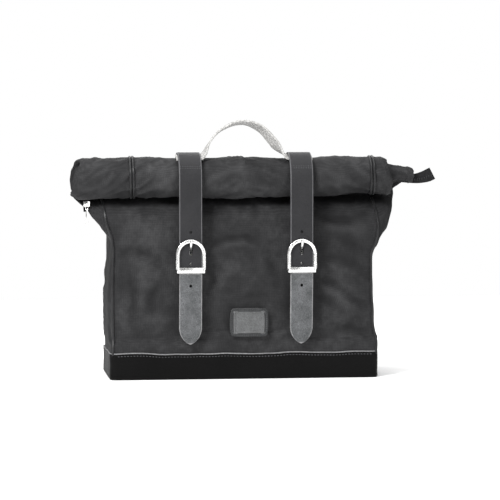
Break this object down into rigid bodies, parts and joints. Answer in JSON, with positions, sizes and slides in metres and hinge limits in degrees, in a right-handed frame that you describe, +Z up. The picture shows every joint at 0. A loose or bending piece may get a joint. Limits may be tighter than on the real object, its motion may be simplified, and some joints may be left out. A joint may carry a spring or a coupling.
{
  "type": "pannier bag",
  "caption": "Roll-top bicycle pannier of waxed canvas on a leather base, with two buckled leather straps, a carry handle and a hook rail at the back.",
  "frame": {"origin": "centre of the base's underside", "axes": "+X along the width, to the right seen from the front; -Y to the front; +Z up"},
  "size_m": [0.5152, 0.208, 0.361],
  "materials": {
    "waxed_canvas": "waxed cotton canvas, matt, creased",
    "base_leather": "black smooth leather",
    "strap_leather": "black strap leather, waxed",
    "tail_leather": "grey worn strap leather, grained",
    "label_leather": "grey embossed leather",
    "handle_leather": "light grey strap leather",
    "nickel": "nickel plate, softly polished",
    "zip_tape": "woven polyester tape",
    "board": "polypropylene sheet",
    "black_plastic": "moulded nylon",
    "black_aluminium": "black anodised",
    "steel": "zinc plated"
  },
  "bodies": {
    "root": {"leather_base": "base_leather", "roll_piping_left": "base_leather", "roll_piping_right": "base_leather", "front_panel": "waxed_canvas", "back_panel": "waxed_canvas", "rolled_mouth": "waxed_canvas", "mouth_hem": "waxed_canvas", "base_board": "board", "back_board": "board", "label_patch": "label_leather", "zip_tape_left": "zip_tape", "zip_tape_right": "zip_tape", "handle_foot_left": "handle_leather", "handle_foot_right": "handle_leather", "hook_rail": "black_aluminium", "rail_backing": "steel", "stay_backing": "steel", "stay_pivot": "steel", "stay_plate": "black_plastic", "rail_cap_left": "black_plastic", "rail_cap_right": "black_plastic", "left_gusset": "waxed_canvas", "front_piping_left": "base_leather", "back_piping_left": "base_leather", "left_strap_upper": "strap_leather", "left_chape": "strap_leather", "left_chape_rivet": "nickel", "left_strap_rivet": "nickel", "right_gusset": "waxed_canvas", "front_piping_right": "base_leather", "back_piping_right": "base_leather", "right_strap_upper": "strap_leather", "right_chape": "strap_leather", "right_chape_rivet": "nickel", "right_strap_rivet": "nickel", "rail_screw_1": "steel", "rail_screw_2": "steel", "rail_screw_3": "steel", "rail_screw_4": "steel", "stay_screw_1": "steel", "stay_screw_2": "steel"},
    "left_buckle": {"left_buckle_frame": "nickel", "left_strap_middle": "strap_leather"},
    "left_tongue": {"left_buckle_tongue": "nickel"},
    "left_tail": {"left_strap_tail": "tail_leather"},
    "left_hook": {"left_hook_body": "black_plastic", "left_hook_pin": "steel"},
    "left_lever": {"left_hook_lever": "black_plastic"},
    "right_buckle": {"right_buckle_frame": "nickel", "right_strap_middle": "strap_leather"},
    "right_tongue": {"right_buckle_tongue": "nickel"},
    "right_tail": {"right_strap_tail": "tail_leather"},
    "right_hook": {"right_hook_body": "black_plastic", "right_hook_pin": "steel"},
    "right_lever": {"right_hook_lever": "black_plastic"},
    "handle": {"handle_grip": "handle_leather"},
    "slider": {"zip_slider": "nickel"},
    "puller": {"zip_puller": "nickel"},
    "stay": {"stay_arm": "black_plastic"}
  },
  "joints": [
    {"name": "left_buckle_rock", "type": "hinge", "parent": "root", "child": "left_buckle", "pos_m": [-0.078, -0.0838, 0.154], "axis": [1, 0, 0], "range_deg": [0, 8], "stiffness_Nm_per_rad": 0.3},
    {"name": "left_tongue_play", "type": "hinge", "parent": "left_buckle", "child": "left_tongue", "pos_m": [-0.078, -0.0838, 0.154], "axis": [1, 0, 0], "range_deg": [0, 3]},
    {"name": "left_tail_lift", "type": "hinge", "parent": "root", "child": "left_tail", "pos_m": [-0.078, -0.0914, 0.149], "axis": [-1, 0, 0], "range_deg": [0, 80], "stiffness_Nm_per_rad": 0.05},
    {"name": "left_hook_slide", "type": "slide", "parent": "root", "child": "left_hook", "axis": [1, 0, 0], "range_m": [-0.03, 0.03]},
    {"name": "left_lever_press", "type": "hinge", "parent": "left_hook", "child": "left_lever", "pos_m": [-0.08, 0.0914, 0.126], "axis": [1, 0, 0], "range_deg": [0, 18], "stiffness_Nm_per_rad": 0.08},
    {"name": "right_buckle_rock", "type": "hinge", "parent": "root", "child": "right_buckle", "pos_m": [0.078, -0.0838, 0.154], "axis": [1, 0, 0], "range_deg": [0, 8], "stiffness_Nm_per_rad": 0.3},
    {"name": "right_tongue_play", "type": "hinge", "parent": "right_buckle", "child": "right_tongue", "pos_m": [0.078, -0.0838, 0.154], "axis": [1, 0, 0], "range_deg": [0, 3]},
    {"name": "right_tail_lift", "type": "hinge", "parent": "root", "child": "right_tail", "pos_m": [0.078, -0.0914, 0.149], "axis": [-1, 0, 0], "range_deg": [0, 80], "stiffness_Nm_per_rad": 0.05},
    {"name": "right_hook_slide", "type": "slide", "parent": "root", "child": "right_hook", "axis": [1, 0, 0], "range_m": [-0.03, 0.03]},
    {"name": "right_lever_press", "type": "hinge", "parent": "right_hook", "child": "right_lever", "pos_m": [0.08, 0.0914, 0.126], "axis": [1, 0, 0], "range_deg": [0, 18], "stiffness_Nm_per_rad": 0.08},
    {"name": "handle_fold", "type": "hinge", "parent": "root", "child": "handle", "pos_m": [0, -0.06246, 0.3205], "axis": [1, 0, 0], "range_deg": [-40, 40], "stiffness_Nm_per_rad": 0.15},
    {"name": "zip_slide", "type": "slide", "parent": "root", "child": "slider", "axis": [0, 0, 1], "range_m": [-0.006, 0.003]},
    {"name": "puller_swing", "type": "hinge", "parent": "slider", "child": "puller", "pos_m": [-0.22, -0.04911, 0.246], "axis": [-1, 0, 0], "range_deg": [0, 80]},
    {"name": "stay_swivel", "type": "hinge", "parent": "root", "child": "stay", "pos_m": [0, 0.0758, 0.066], "axis": [0, 1, 0], "range_deg": [-50, 50]}
  ]
}
